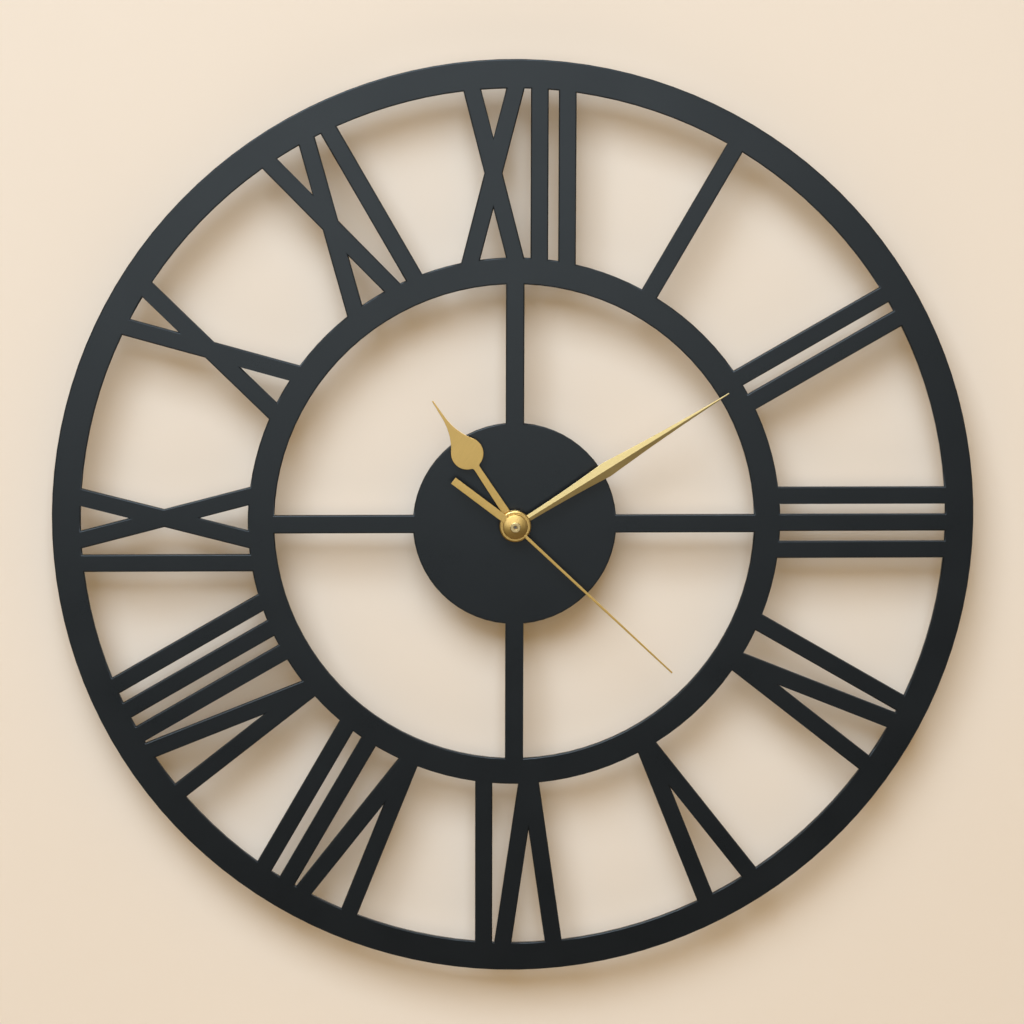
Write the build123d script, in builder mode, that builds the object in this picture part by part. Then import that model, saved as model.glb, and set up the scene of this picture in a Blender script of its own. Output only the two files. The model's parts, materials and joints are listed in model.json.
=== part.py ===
from build123d import *
import os
from math import atan2, cos, degrees, hypot, pi, radians, sin, sqrt

os.makedirs("parts", exist_ok=True)

# Wall clock with an open dial plate, three hands and a quartz movement behind the hub disc.
# Sizes are millimetres. X is right, Y goes into the wall and Z is up. The origin is the middle
# of the hanging eye, on the wall. A depth is a distance from the wall towards the viewer.

# Dial plate
dial_diameter = 400.0
rim_width = 12.5
ring_diameter = 231.2
ring_width = 11.5
hub_diameter = 88.4
spoke_width = 8.0
spoke_count = 4
plate_thickness = 2.0

# Numerals, tops outward, each with its own small shift clockwise
stroke_width = 7.6
bar_pitch = 11.9
letter_to_bar = 19.7
v_half_spread = 11.2
x_half_spread = 9.3
numerals = (
    ("XII", 1.7), ("I", 0.0), ("II", -0.8), ("III", -0.3), ("IV", 0.0), ("V", -0.8),
    ("VI", -2.2), ("VII", -2.5), ("VIII", -1.9), ("IX", -2.3), ("X", 0.2), ("XI", 1.4),
)

# Hands, with their angles clockwise from twelve
hour_hand_angle = 326.7
hour_hand_length = 65.0
hour_hand_sheet = 0.6
hour_stem_root_width = 3.6
hour_stem_width = 2.8
neck_fillet = 1.2
bulb_distance = 37.7
bulb_diameter = 14.0
bulb_shoulder_angle = 36.0
hour_needle_length = 9.0
hour_needle_width = 1.3
hour_tip_width = 0.6
hour_boss_diameter = 12.8

minute_hand_angle = 57.9
minute_hand_length = 108.5
minute_hand_sheet = 0.5
minute_root_width = 2.8
minute_widest = 6.8
minute_widest_distance = 46.5
minute_flank_hollow = 0.45
minute_tip_width = 0.5
minute_ridge_slope = 0.2
minute_boss_diameter = 13.8

second_hand_angle = 133.3
second_hand_length = 94.0
second_hand_sheet = 0.4
second_root_width = 1.4
second_tip_width = 0.75
tail_length = 33.6
tail_width = 3.3
tail_skew = 6.1
cap_diameter = 10.6
cap_thickness = 1.4
cap_rise = 0.6
tube_diameter = 4.4
tube_height = 1.2
dimple_diameter = 1.9
dimple_depth = 0.8

boss_thickness = 1.2
boss_bevel = 0.4
hand_gap = 0.8

# Shaft and pipes, each running inside the next
second_shaft_diameter = 1.0
minute_pipe_diameter = 3.0
hour_pipe_diameter = 5.0
bush_diameter = 8.0
running_clearance = 0.05
bush_flange_diameter = 12.0
bush_flange_thickness = 1.0
bush_thread_beyond_nut = 0.6

# Clamp at the bush
bush_hole_clearance = 0.2
nut_across_flats = 11.0
nut_thickness = 2.0
washer_diameter = 12.4
washer_thickness = 0.5
gasket_diameter = 22.0
gasket_thickness = 1.0

# Hanger bracket
hanger_width = 18.0
hanger_sheet = 1.0
hanger_foot = 9.0
hanger_gap = 0.8
eye_diameter = 7.0
eye_margin = 1.8

# Movement case
case_size = 56.0
case_corner = 4.0
case_wall = 1.2
cover_thickness = 1.2
partition_thickness = 1.0
post_diameter = 3.2
pillar_diameter = 2.4
middle_plate_thickness = 1.0
fit_gap = 0.2

# Cell and contacts
cell_diameter = 14.5
leaf_reach = 1.9
nub_diameter = 5.5
nub_length = 1.3
cell_clearance = 0.25
cell_recess = 0.6
contact_sheet = 0.4
contact_width = 10.0
contact_tab_width = 2.0
contact_leaf_width = 4.0

# Electronics
board_width = 7.0
board_height = 22.0
board_thickness = 1.0
board_standoff = 1.2
crystal_diameter = 2.0
crystal_length = 6.0
chip_diameter = 5.0
chip_height = 1.0
chip_bevel = 0.5

# Motor
magnet_diameter = 4.0
magnet_thickness = 1.6
magnet_air_gap = 0.4
stator_ring_width = 1.1
stator_thickness = 0.8
stator_arm_width = 3.0
core_to_board = 1.9
core_thickness = 0.8
bobbin_to_arm = 1.5
bobbin_flange_thickness = 1.0
bobbin_barrel_diameter = 4.8
winding_margin = 0.1
coil_clearance = 1.6
coil_to_wall = 1.5

# Train
rotor_pinion_teeth = 8
intermediate_teeth = 48
intermediate_pinion_teeth = 8
second_teeth = 40
second_pinion_teeth = 8
third_teeth = 60
third_pinion_teeth = 8
centre_teeth = 64
cannon_teeth = 10
minute_wheel_teeth = 30
minute_pinion_teeth = 8
hour_teeth = 32
wheel_to_sleeve = 0.27
wheel_to_partition = 1.7
wheel_to_stem = 0.4
pocket_to_board = 0.4
wheel_thickness = 0.8
wheel_gap = 0.6
pinion_overrun = 0.3
arbor_diameter = 1.0
sleeve_diameter = 2.0
stem_diameter = 1.8
pivot_diameter = 0.6
pivot_depth = 0.8
end_shake = 0.15

# Tooth form as multiples of the module
wheel_tooth_width = 1.5
wheel_addendum = 0.75
wheel_dedendum = 0.95
pinion_tooth_width = 1.05
pinion_addendum = 0.525
pinion_dedendum = 1.15

# Setting knob
knob_diameter = 7.0
knob_thickness = 1.6
knob_recess = 0.2
knob_clearance = 0.6
knob_flutes = 12
flute_diameter = 0.9
pocket_wall = 0.8

# Depths of the train, from the knob's pocket forward
pocket_depth = knob_recess + knob_thickness + fit_gap
pocket_front = pocket_depth + pocket_wall
second_wheel_depth = pocket_front + wheel_gap
intermediate_depth = second_wheel_depth + wheel_thickness + wheel_gap
middle_plate_depth = intermediate_depth + wheel_thickness + wheel_gap
third_depth = middle_plate_depth + middle_plate_thickness + wheel_gap
centre_depth = third_depth + wheel_thickness + wheel_gap
minute_wheel_depth = centre_depth + wheel_thickness + wheel_gap
hour_wheel_depth = minute_wheel_depth + wheel_thickness + wheel_gap
hour_hub_front = hour_wheel_depth + wheel_thickness + pinion_overrun + wheel_gap

# Depths of the clamp and the hands
train_room = hour_hub_front + end_shake + bush_flange_thickness
cell_room = cell_recess + cell_diameter + fit_gap
cover_depth = max(train_room, cell_room)
case_front = cover_depth + cover_thickness
gasket_depth = case_front + hanger_sheet
plate_depth = gasket_depth + gasket_thickness
plate_front = plate_depth + plate_thickness
nut_depth = plate_front + washer_thickness
nut_front = nut_depth + nut_thickness
bush_front = nut_front + bush_thread_beyond_nut
hour_hand_depth = bush_front + hand_gap
minute_hand_depth = hour_hand_depth + boss_thickness + hand_gap
second_hand_depth = minute_hand_depth + boss_thickness + hand_gap
cap_front = second_hand_depth + cap_thickness
tube_front = cap_front + tube_height

# Motor depths: the stator lies under the coil's core, the magnet lies inside the stator and the
# coil rests on the back of the case
rotor_pinion_depth = intermediate_depth - pinion_overrun
magnet_depth = rotor_pinion_depth - magnet_thickness
stator_depth = magnet_depth + (magnet_thickness - stator_thickness) / 2
core_depth = stator_depth + stator_thickness
coil_depth = core_depth + core_thickness / 2
bobbin_flange_size = 2 * (coil_depth - case_wall)
winding_diameter = bobbin_flange_size - 2 * winding_margin

# Heights measured up from the hands' axis: cell and partition below it, rotor and coil above it
case_half = case_size / 2
inner_half = case_half - case_wall
eye_height = case_half + hanger_gap + hanger_sheet + eye_margin + eye_diameter / 2
axis_z = -eye_height
cell_height = -inner_half + cell_clearance + cell_diameter / 2
partition_bottom = cell_height + cell_diameter / 2 + cell_clearance
partition_top = partition_bottom + partition_thickness
coil_height = inner_half - coil_to_wall - bobbin_flange_size / 2
stator_ring_radius = magnet_diameter / 2 + magnet_air_gap + stator_ring_width
rotor_height = coil_height - bobbin_flange_size / 2 - coil_clearance - stator_ring_radius

# The circuit board stands beside the right-hand posts, and the coil's core ends short of it
board_right = inner_half - post_diameter - fit_gap
board_left = board_right - board_width
board_middle = (board_left + board_right) / 2
core_length = 2 * (board_left - core_to_board)
bobbin_length = core_length - 2 * (stator_arm_width + bobbin_to_arm)


def tip_share(wheel_teeth, pinion_teeth):
    """Tip radius of a wheel as a share of the distance to the pinion that it meshes with."""
    return (wheel_teeth + 2 * wheel_addendum) / (wheel_teeth + pinion_teeth)


# Distances between arbors. The intermediate wheel passes the second wheel's sleeve. The centre
# wheel is as large as the cell below it and the knob beside it allow, and passes the knob's stem.
wheel_room = rotor_height - sleeve_diameter / 2 - wheel_to_sleeve
rotor_centres = wheel_room / (1 + tip_share(intermediate_teeth, rotor_pinion_teeth))
intermediate_centres = rotor_height - rotor_centres
pocket_diameter = knob_diameter + 2 * knob_clearance
pocket_outer = pocket_diameter + 2 * pocket_wall
stem_spacing = stem_diameter / 2 + wheel_to_stem
room_below = -partition_top - wheel_to_partition
room_beside = board_left - pocket_to_board - pocket_outer / 2 - stem_spacing
centre_wheel_radius = min(room_below, room_beside)
train_centres = centre_wheel_radius / tip_share(centre_teeth, third_pinion_teeth)
motion_centres = centre_wheel_radius + stem_spacing

# Radii that several pieces share
rim_inner = dial_diameter / 2 - rim_width
rim_middle = dial_diameter / 2 - rim_width / 2
ring_outer = ring_diameter / 2
ring_inner = ring_outer - ring_width
ring_middle = ring_outer - ring_width / 2
hub_radius = hub_diameter / 2
bush_hole_radius = bush_diameter / 2 + bush_hole_clearance
pivot_hole_radius = pivot_diameter / 2 + running_clearance

# Where the arbors stand, right and up from the hands' axis
hands_axis = (0.0, 0.0)
intermediate_axis = (0.0, intermediate_centres)
rotor_axis = (0.0, rotor_height)
third_axis = (-train_centres, 0.0)
minute_wheel_axis = (motion_centres, 0.0)


def depth_plane(depth, centre=(0.0, 0.0), angle=0.0):
    """A plane facing the viewer, its Y turned clockwise from straight up by an angle in degrees."""
    turn = radians(angle)
    return Plane(
        origin=(centre[0], -depth, axis_z + centre[1]),
        x_dir=(cos(turn), 0, -sin(turn)),
        z_dir=(0, -1, 0),
    )


def module_of(centres, wheel_teeth, pinion_teeth):
    """Module of a pair of gears from the distance between their arbors."""
    return 2 * centres / (wheel_teeth + pinion_teeth)


def mesh_phase(direction, phase, teeth, other_teeth):
    """Phase of a gear that meshes with another, which lies the given direction away from it."""
    pitch = 2 * pi / teeth
    share = ((direction - phase) / pitch) % 1
    return direction + pi + (share + 0.5) * 2 * pi / other_teeth


def polar(radius, angle):
    """Point at a radius and an angle in radians."""
    return (radius * cos(angle), radius * sin(angle))


def disc(plane, diameter, height):
    """Add a plain round boss on a plane."""
    with BuildSketch(plane) as outline:
        Circle(diameter / 2)
    extrude(outline.sketch, amount=height)


def bevelled_disc(plane, diameter, height, bevel):
    """Add a round boss on a plane, with a bevel round its front."""
    disc(plane, diameter, height - bevel)
    with BuildSketch(plane.offset(height - bevel)) as outline:
        Circle(diameter / 2)
    extrude(outline.sketch, amount=bevel, taper=45)


def domed_disc(plane, diameter, height, rise):
    """Add a round boss on a plane, whose front is a low dome."""
    dome_radius = ((diameter / 2) ** 2 + rise**2) / (2 * rise)
    with BuildPart(mode=Mode.PRIVATE) as dome:
        disc(plane, diameter, height)
        with Locations(plane.offset(height - dome_radius)):
            Sphere(dome_radius, mode=Mode.INTERSECT)
    add(dome.part)


def bore(plane, diameter, height):
    """Cut a round hole forward from a plane."""
    with BuildSketch(plane) as outline:
        Circle(diameter / 2)
    extrude(outline.sketch, amount=height, mode=Mode.SUBTRACT)


def block(plane, left, right, bottom, top, height, mode=Mode.ADD):
    """Add or cut a rectangular block that stands on a plane."""
    with BuildSketch(plane) as outline:
        with Locations(((left + right) / 2, (bottom + top) / 2)):
            Rectangle(right - left, top - bottom)
    extrude(outline.sketch, amount=height, mode=mode)


def gear(plane, height, teeth, module, phase, width, addendum, dedendum):
    """Add a gear with radial flanks and rounded tooth tips, as clock wheels have."""
    pitch_radius = module * teeth / 2
    root_radius = pitch_radius - dedendum * module
    tip_radius = pitch_radius + addendum * module
    half_tooth = width * module / 2 / pitch_radius
    pitch = 2 * pi / teeth
    with BuildSketch(plane) as outline:
        with BuildLine():
            for tooth in range(teeth):
                middle = phase + tooth * pitch
                rise = middle - half_tooth
                fall = middle + half_tooth
                next_rise = rise + pitch
                Line(polar(root_radius, rise), polar(pitch_radius, rise))
                ThreePointArc(
                    polar(pitch_radius, rise), polar(tip_radius, middle), polar(pitch_radius, fall)
                )
                Line(polar(pitch_radius, fall), polar(root_radius, fall))
                ThreePointArc(
                    polar(root_radius, fall),
                    polar(root_radius, (fall + next_rise) / 2),
                    polar(root_radius, next_rise),
                )
        make_face()
    extrude(outline.sketch, amount=height)


def wheel(plane, height, teeth, module, phase):
    """Add a wheel, the larger gear of a pair."""
    gear(plane, height, teeth, module, phase, wheel_tooth_width, wheel_addendum, wheel_dedendum)


def pinion(plane, height, teeth, module, phase):
    """Add a pinion, the smaller gear of a pair."""
    gear(plane, height, teeth, module, phase, pinion_tooth_width, pinion_addendum, pinion_dedendum)


def arbor(axis, back, front):
    """Add an arbor between two bearing faces, with a pivot that runs into each."""
    shoulder = back + end_shake
    length = front - back - 2 * end_shake
    disc(depth_plane(shoulder, axis), arbor_diameter, length)
    disc(depth_plane(back - pivot_depth + end_shake, axis), pivot_diameter, pivot_depth)
    disc(depth_plane(front - end_shake, axis), pivot_diameter, pivot_depth)


def stroke(start, end):
    """Add one straight numeral stroke along its centre line."""
    across = end[0] - start[0]
    along = end[1] - start[1]
    with Locations(((start[0] + end[0]) / 2, (start[1] + end[1]) / 2)):
        Rectangle(stroke_width, hypot(across, along), rotation=-degrees(atan2(across, along)))


def letter_strokes(letter, offset):
    """Centre lines of a letter, from the middle of the ring to the middle of the rim."""
    if letter == "I":
        foot = sqrt(ring_middle**2 - offset**2)
        head = sqrt(rim_middle**2 - offset**2)
        return [((offset, foot), (offset, head))]
    if letter == "V":
        slope = v_half_spread / (rim_inner - ring_middle)
        reach = slope * (rim_middle - ring_middle)
        return [((offset, ring_middle), (offset + side * reach, rim_middle)) for side in (-1, 1)]
    middle = (ring_outer + rim_inner) / 2
    slope = x_half_spread / (rim_inner - middle)
    foot = slope * (middle - ring_middle)
    head = slope * (rim_middle - middle)
    return [
        ((offset - side * foot, ring_middle), (offset + side * head, rim_middle)) for side in (-1, 1)
    ]


def letter_half_width(letter):
    """Half of a letter's width where it is widest."""
    spread = {"I": 0.0, "V": v_half_spread, "X": x_half_spread}[letter]
    return spread + stroke_width / 2


def letter_offsets(text):
    """Place of each letter's middle along a numeral whose own middle is at zero."""
    places = [0.0]
    for before, after in zip(text, text[1:]):
        step = bar_pitch if before == after == "I" else letter_to_bar
        places.append(places[-1] + step)
    left = -letter_half_width(text[0])
    right = places[-1] + letter_half_width(text[-1])
    return [place - (left + right) / 2 for place in places]


# Dial plate: rim, ring, hub disc, spokes and numerals cut from one sheet
with BuildPart() as dial_plate:
    with BuildSketch(depth_plane(plate_depth)):
        Circle(dial_diameter / 2)
        Circle(rim_inner, mode=Mode.SUBTRACT)
        with BuildSketch(mode=Mode.PRIVATE) as ring:
            Circle(ring_outer)
            Circle(ring_inner, mode=Mode.SUBTRACT)
        add(ring.sketch)
        Circle(hub_radius)
        spoke_reach = ring_middle - hub_radius / 2
        with PolarLocations(hub_radius / 2 + spoke_reach / 2, spoke_count):
            Rectangle(spoke_reach, spoke_width)
        for hour, (text, shift) in enumerate(numerals):
            with Locations(Location((0, 0, 0), (0, 0, -360 * hour / len(numerals)))):
                for letter, offset in zip(text, letter_offsets(text)):
                    for start, end in letter_strokes(letter, offset + shift):
                        stroke(start, end)
        Circle(bush_hole_radius, mode=Mode.SUBTRACT)
    extrude(amount=plate_thickness)
dial_plate.part.label = "dial_plate"
export_step(dial_plate.part, "parts/dial_plate.step")

# Hour hand: stem, round bulb and a long needle, joined by hollow curves
with BuildPart() as hour_hand:
    bulb_radius = bulb_diameter / 2
    stem_half = hour_stem_width / 2
    shoulder = radians(bulb_shoulder_angle)
    neck_reach = bulb_radius + neck_fillet
    neck_drop = sqrt(neck_reach**2 - (stem_half + neck_fillet) ** 2)
    neck = (stem_half, bulb_distance - neck_drop)
    bulb_share = bulb_radius / neck_reach
    bulb_foot = ((stem_half + neck_fillet) * bulb_share, bulb_distance - neck_drop * bulb_share)
    widest = (bulb_radius, bulb_distance)
    shoulder_point = (bulb_radius * cos(shoulder), bulb_distance + bulb_radius * sin(shoulder))
    needle_root = (hour_needle_width / 2, hour_hand_length - hour_needle_length)
    with BuildSketch(depth_plane(hour_hand_depth, angle=hour_hand_angle)):
        with BuildLine():
            Line((0, 0), (hour_stem_root_width / 2, 0))
            Line((hour_stem_root_width / 2, 0), neck)
            TangentArc(neck, bulb_foot, tangent=(0, 1))
            ThreePointArc(bulb_foot, widest, shoulder_point)
            TangentArc(shoulder_point, needle_root, tangent=(-sin(shoulder), cos(shoulder)))
            Line(needle_root, (hour_tip_width / 2, hour_hand_length))
            Line((hour_tip_width / 2, hour_hand_length), (0, hour_hand_length))
            mirror(about=Plane.YZ)
        make_face()
    extrude(amount=hour_hand_sheet)
    disc(depth_plane(hour_hand_depth), hour_boss_diameter, boss_thickness)
    bore(depth_plane(hour_hand_depth), hour_pipe_diameter, boss_thickness)
hour_hand.part.label = "hour_hand"
export_step(hour_hand.part, "parts/hour_hand.step")

# Minute hand: a long lance with hollow flanks, whose front slopes from a centre ridge to both edges
with BuildPart() as minute_hand:
    minute_plane = depth_plane(minute_hand_depth, angle=minute_hand_angle)
    root = (minute_root_width / 2, 0)
    widest = (minute_widest / 2, minute_widest_distance)
    tip = (minute_tip_width / 2, minute_hand_length)
    with BuildSketch(minute_plane):
        with BuildLine():
            Line((0, 0), root)
            SagittaArc(root, widest, minute_flank_hollow)
            SagittaArc(widest, tip, minute_flank_hollow)
            Line(tip, (0, minute_hand_length))
            mirror(about=Plane.YZ)
        make_face()
    extrude(amount=minute_hand_sheet + minute_ridge_slope * minute_widest / 2)
    for start, end in ((root, widest), (widest, tip)):
        widening = (end[0] - start[0]) / (end[1] - start[1])
        for side in (-1, 1):
            edge_point = minute_plane.from_local_coords((side * start[0], start[1], minute_hand_sheet))
            normal = (
                minute_plane.x_dir * side * minute_ridge_slope
                - minute_plane.y_dir * minute_ridge_slope * widening
                + minute_plane.z_dir
            )
            split(bisect_by=Plane(origin=edge_point, z_dir=normal), keep=Keep.BOTTOM)
    bevelled_disc(depth_plane(minute_hand_depth), minute_boss_diameter, boss_thickness, boss_bevel)
    bore(depth_plane(minute_hand_depth), minute_pipe_diameter, boss_thickness)
minute_hand.part.label = "minute_hand"
export_step(minute_hand.part, "parts/minute_hand.step")

# Second hand: needle and blunt tail under a domed cap with a tube end
with BuildPart() as second_hand:
    with BuildSketch(depth_plane(second_hand_depth, angle=second_hand_angle)):
        with BuildLine():
            Polyline(
                (0, 0),
                (second_root_width / 2, 0),
                (second_tip_width / 2, second_hand_length),
                (0, second_hand_length),
            )
            mirror(about=Plane.YZ)
        make_face()
    with BuildSketch(depth_plane(second_hand_depth, angle=second_hand_angle + 180 - tail_skew)):
        with Locations((0, tail_length / 2)):
            Rectangle(tail_width, tail_length)
    extrude(amount=second_hand_sheet)
    domed_disc(depth_plane(second_hand_depth), cap_diameter, cap_thickness, cap_rise)
    disc(depth_plane(second_hand_depth), tube_diameter, tube_front - second_hand_depth)
    bore(depth_plane(tube_front - dimple_depth), dimple_diameter, dimple_depth)
    bore(depth_plane(second_hand_depth), second_shaft_diameter, tube_front - second_hand_depth)
second_hand.part.label = "second_hand"
export_step(second_hand.part, "parts/second_hand.step")

# Clamp: threaded bush, nut, washer and gasket
with BuildPart() as threaded_bush:
    disc(depth_plane(cover_depth - bush_flange_thickness), bush_flange_diameter, bush_flange_thickness)
    disc(depth_plane(cover_depth), bush_diameter, bush_front - cover_depth)
    bore(
        depth_plane(cover_depth - bush_flange_thickness),
        hour_pipe_diameter + 2 * running_clearance,
        bush_front - cover_depth + bush_flange_thickness,
    )
threaded_bush.part.label = "threaded_bush"
export_step(threaded_bush.part, "parts/threaded_bush.step")

with BuildPart() as fixing_nut:
    with BuildSketch(depth_plane(nut_depth)):
        RegularPolygon(nut_across_flats / 2, 6, major_radius=False)
        Circle(bush_diameter / 2, mode=Mode.SUBTRACT)
    extrude(amount=nut_thickness)
fixing_nut.part.label = "fixing_nut"
export_step(fixing_nut.part, "parts/fixing_nut.step")

with BuildPart() as nut_washer:
    disc(depth_plane(plate_front), washer_diameter, washer_thickness)
    bore(depth_plane(plate_front), 2 * bush_hole_radius, washer_thickness)
nut_washer.part.label = "nut_washer"
export_step(nut_washer.part, "parts/nut_washer.step")

with BuildPart() as rubber_gasket:
    disc(depth_plane(gasket_depth), gasket_diameter, gasket_thickness)
    bore(depth_plane(gasket_depth), 2 * bush_hole_radius, gasket_thickness)
rubber_gasket.part.label = "rubber_gasket"
export_step(rubber_gasket.part, "parts/rubber_gasket.step")

# Hanger bracket: up the front of the case, back over its top and up the wall to the eye
with BuildPart() as hanger_bracket:
    shelf_bottom = case_half + hanger_gap
    eye_top = eye_height + eye_diameter / 2 + eye_margin
    half = hanger_width / 2
    block(depth_plane(case_front), -half, half, -hanger_foot, shelf_bottom + hanger_sheet, hanger_sheet)
    block(depth_plane(0), -half, half, shelf_bottom, shelf_bottom + hanger_sheet, case_front)
    block(depth_plane(0), -half, half, shelf_bottom, eye_top, hanger_sheet)
    bore(depth_plane(case_front), 2 * bush_hole_radius, hanger_sheet)
    bore(depth_plane(0, (0, eye_height)), eye_diameter, hanger_sheet)
    fillet(hanger_bracket.edges().filter_by(Axis.Y).group_by(Axis.Z)[-1], radius=half / 2)
hanger_bracket.part.label = "hanger_bracket"
export_step(hanger_bracket.part, "parts/hanger_bracket.step")

# The cell's nub touches the right-hand contact, which lies against the case's side
contact_face = inner_half - fit_gap - contact_sheet
cell_axis_depth = cell_recess + cell_diameter / 2
cell_right = contact_face - nub_length
cell_left = leaf_reach - contact_face
cell_length = cell_right - cell_left

# Case posts stand beside the side walls, two above the partition and two below the coil
post_x = inner_half - post_diameter / 2
post_low = partition_top + contact_sheet + fit_gap + post_diameter / 2
plate_top = coil_height - bobbin_flange_size / 2 - fit_gap
post_high = plate_top - post_diameter / 2
post_places = [(x, z) for x in (-post_x, post_x) for z in (post_low, post_high)]
arm_x = core_length / 2 - stator_arm_width / 2
board_bottom = partition_top + contact_sheet
board_depth = case_wall + board_standoff
board_front = board_depth + board_thickness
stem_hole = stem_diameter + 2 * running_clearance
tab_depth = board_depth
tab_room = contact_tab_width + 2 * fit_gap

# Rear case: a square tray with a cell bay open to the wall, a pocket for the knob and posts
with BuildPart() as rear_case:
    with BuildSketch(depth_plane(0)):
        RectangleRounded(case_size, case_size, case_corner)
    extrude(amount=cover_depth)
    with BuildSketch(depth_plane(case_wall)):
        RectangleRounded(2 * inner_half, 2 * inner_half, case_corner - case_wall)
    extrude(amount=cover_depth - case_wall, mode=Mode.SUBTRACT)
    room = cover_depth - case_wall
    block(depth_plane(case_wall), -inner_half, inner_half, partition_bottom, partition_top, room)
    bay_left = cell_left - cell_clearance
    bay_right = cell_right + cell_clearance
    block(
        depth_plane(0), bay_left, bay_right, -inner_half, partition_bottom, case_wall, Mode.SUBTRACT
    )
    disc(depth_plane(case_wall, minute_wheel_axis), pocket_outer, pocket_front - case_wall)
    bore(depth_plane(0, minute_wheel_axis), pocket_diameter, pocket_depth)
    bore(depth_plane(pocket_depth, minute_wheel_axis), stem_hole, pocket_wall)
    for place in post_places:
        disc(depth_plane(case_wall, place), post_diameter, middle_plate_depth - case_wall)
    for x in (-arm_x, arm_x):
        disc(depth_plane(case_wall, (x, coil_height)), pillar_diameter, stator_depth - case_wall)
    for share in (0.25, 0.75):
        place = (board_middle, board_bottom + share * board_height)
        disc(depth_plane(case_wall, place), pillar_diameter, board_standoff)
    for axis in (hands_axis, intermediate_axis, rotor_axis):
        bore(depth_plane(case_wall - pivot_depth, axis), 2 * pivot_hole_radius, pivot_depth)
    for side in (-1, 1):
        edge = side * inner_half
        notch = edge - side * (contact_sheet + 2 * fit_gap)
        left, right = min(edge, notch), max(edge, notch)
        notch_plane = depth_plane(tab_depth - fit_gap)
        block(notch_plane, left, right, partition_bottom, partition_top, tab_room, Mode.SUBTRACT)
rear_case.part.label = "rear_case"
export_step(rear_case.part, "parts/rear_case.step")

# Middle plate: carries the inner pivots, clamped between the posts of case and cover
with BuildPart() as middle_plate:
    side = inner_half - fit_gap
    plate_bottom = post_low - post_diameter / 2
    block(depth_plane(middle_plate_depth), -side, side, plate_bottom, plate_top, middle_plate_thickness)
    for axis in (intermediate_axis, rotor_axis, third_axis):
        bore(depth_plane(middle_plate_depth, axis), 2 * pivot_hole_radius, middle_plate_thickness)
    sleeve_hole = sleeve_diameter + 2 * running_clearance
    bore(depth_plane(middle_plate_depth), sleeve_hole, middle_plate_thickness)
    stem_room = stem_diameter + 2 * fit_gap
    bore(depth_plane(middle_plate_depth, minute_wheel_axis), stem_room, middle_plate_thickness)
middle_plate.part.label = "middle_plate"
export_step(middle_plate.part, "parts/middle_plate.step")

# Front cover: closes the case, holds the bush and presses the middle plate down with its posts
with BuildPart() as front_cover:
    with BuildSketch(depth_plane(cover_depth)):
        RectangleRounded(case_size, case_size, case_corner)
        Circle(bush_diameter / 2, mode=Mode.SUBTRACT)
    extrude(amount=cover_thickness)
    plate_face = middle_plate_depth + middle_plate_thickness
    for place in post_places:
        disc(depth_plane(plate_face, place), post_diameter, cover_depth - plate_face)
    for axis in (third_axis, minute_wheel_axis):
        bore(depth_plane(cover_depth, axis), 2 * pivot_hole_radius, pivot_depth + fit_gap)
front_cover.part.label = "front_cover"
export_step(front_cover.part, "parts/front_cover.step")

# Cell, lying across the bottom with its nub to the right
cell_plane = Plane(
    origin=(cell_left, -cell_axis_depth, axis_z + cell_height), x_dir=(0, 1, 0), z_dir=(1, 0, 0)
)
with BuildPart() as aa_cell:
    with BuildSketch(cell_plane):
        Circle(cell_diameter / 2)
    extrude(amount=cell_length)
    with BuildSketch(cell_plane.offset(cell_length)):
        Circle(nub_diameter / 2)
    extrude(amount=nub_length)
aa_cell.part.label = "aa_cell"
export_step(aa_cell.part, "parts/aa_cell.step")

# Contacts: an end plate each, with a tab over the partition to the circuit board
plate_low = cell_height - contact_width / 2
plate_high = cell_height + contact_width / 2
contact_back = cell_axis_depth - contact_width / 2
tab_top = partition_top + contact_sheet
with BuildPart() as positive_contact:
    outer = contact_face + contact_sheet
    block(depth_plane(contact_back), contact_face, outer, plate_low, plate_high, contact_width)
    block(depth_plane(tab_depth), contact_face, outer, plate_low, tab_top, contact_tab_width)
    block(depth_plane(tab_depth), board_middle, outer, partition_top, tab_top, contact_tab_width)
positive_contact.part.label = "positive_contact"
export_step(positive_contact.part, "parts/positive_contact.step")

with BuildPart() as negative_contact:
    outer = -contact_face - contact_sheet
    block(depth_plane(contact_back), outer, -contact_face, plate_low, plate_high, contact_width)
    block(depth_plane(tab_depth), outer, -contact_face, plate_low, tab_top, contact_tab_width)
    board_tab = board_left + fit_gap
    block(depth_plane(tab_depth), outer, board_tab, partition_top, tab_top, contact_tab_width)
    leaf_depth = cell_axis_depth - contact_leaf_width / 2
    with BuildSketch(depth_plane(leaf_depth)):
        with BuildLine():
            Polyline(
                (-contact_face, plate_low),
                (cell_left, cell_height),
                (-contact_face, plate_high),
                (-contact_face, plate_high - 2 * contact_sheet),
                (cell_left - contact_sheet, cell_height),
                (-contact_face, plate_low + 2 * contact_sheet),
                close=True,
            )
        make_face()
    extrude(amount=contact_leaf_width)
negative_contact.part.label = "negative_contact"
export_step(negative_contact.part, "parts/negative_contact.step")

# Electronics on the right of the train
with BuildPart() as circuit_board:
    board_top = board_bottom + board_height
    block(depth_plane(board_depth), board_left, board_right, board_bottom, board_top, board_thickness)
circuit_board.part.label = "circuit_board"
export_step(circuit_board.part, "parts/circuit_board.step")

with BuildPart() as clock_chip:
    chip_place = (board_middle, board_bottom + board_height / 3)
    bevelled_disc(depth_plane(board_front, chip_place), chip_diameter, chip_height, chip_bevel)
clock_chip.part.label = "clock_chip"
export_step(clock_chip.part, "parts/clock_chip.step")

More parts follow.
